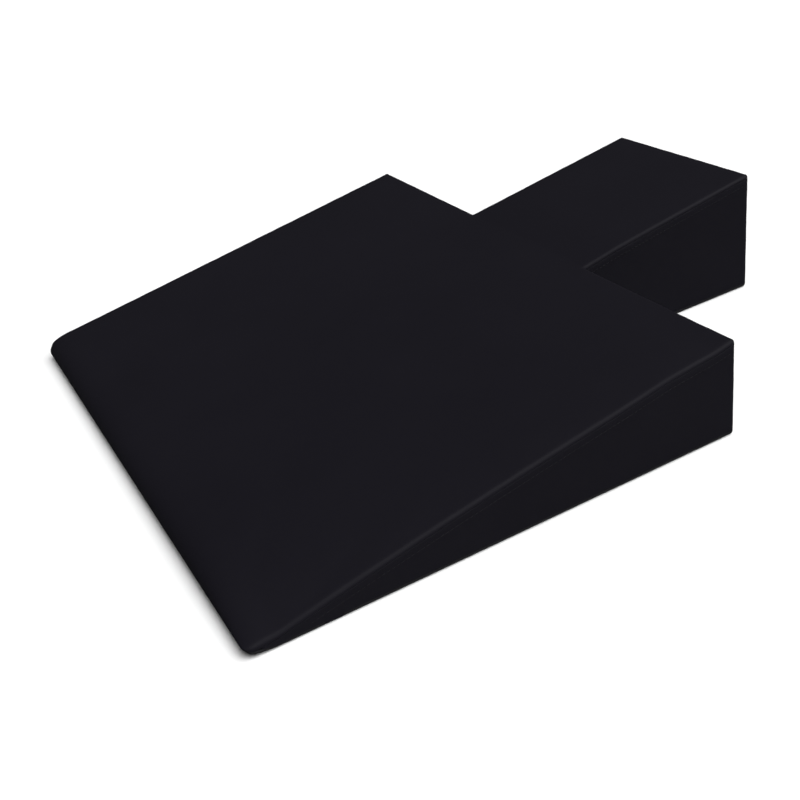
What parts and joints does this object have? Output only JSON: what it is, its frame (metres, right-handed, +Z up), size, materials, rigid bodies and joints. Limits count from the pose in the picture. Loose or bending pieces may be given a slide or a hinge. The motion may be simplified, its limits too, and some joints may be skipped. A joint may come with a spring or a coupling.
{
  "type": "padded positioning wedge",
  "caption": "T-shaped foam wedge in a zipped black cover: a wide body rises from a thin rounded toe, and a narrower neck carries the slope on.",
  "frame": {"origin": "on the floor, under the middle of the footprint's length and width", "axes": "+X from the thin toe to the end of the neck, +Y to the left side, +Z up"},
  "size_m": [0.655, 0.6, 0.1217],
  "materials": {
    "cover": "matte",
    "non_slip_base": "matte",
    "foam": "matte",
    "zip_tape": "matte",
    "zip_coil": "satin",
    "zip_metal": "satin"
  },
  "bodies": {
    "wedge": {"foam_body": "foam", "foam_neck": "foam", "top_panel": "cover", "side_panel_right": "cover", "side_panel_left": "cover", "shoulder_panel_right": "cover", "shoulder_panel_left": "cover", "neck_side_panel_right": "cover", "neck_side_panel_left": "cover", "neck_end_panel": "cover", "zip_end_patch_right": "cover", "zip_end_patch_left": "cover", "base_panel_front": "non_slip_base", "base_panel_rear": "non_slip_base", "zip_tape_front": "zip_tape", "zip_tape_rear": "zip_tape", "zip_coil_front": "zip_coil", "zip_coil_rear": "zip_coil", "zip_top_stop_front": "zip_metal", "zip_top_stop_rear": "zip_metal", "zip_bottom_stop": "zip_metal"},
    "slider": {"zip_slider": "zip_metal"},
    "tab": {"zip_pull_tab": "zip_metal"}
  },
  "joints": [
    {"name": "zip_travel", "type": "slide", "parent": "wedge", "child": "slider", "axis": [0, -1, 0], "range_m": [0, 0.504]},
    {"name": "tab_swing", "type": "hinge", "parent": "slider", "child": "tab", "pos_m": [-0.2575, 0.252, 0.00168], "axis": [1, 0, 0], "range_deg": [0, 180]}
  ]
}
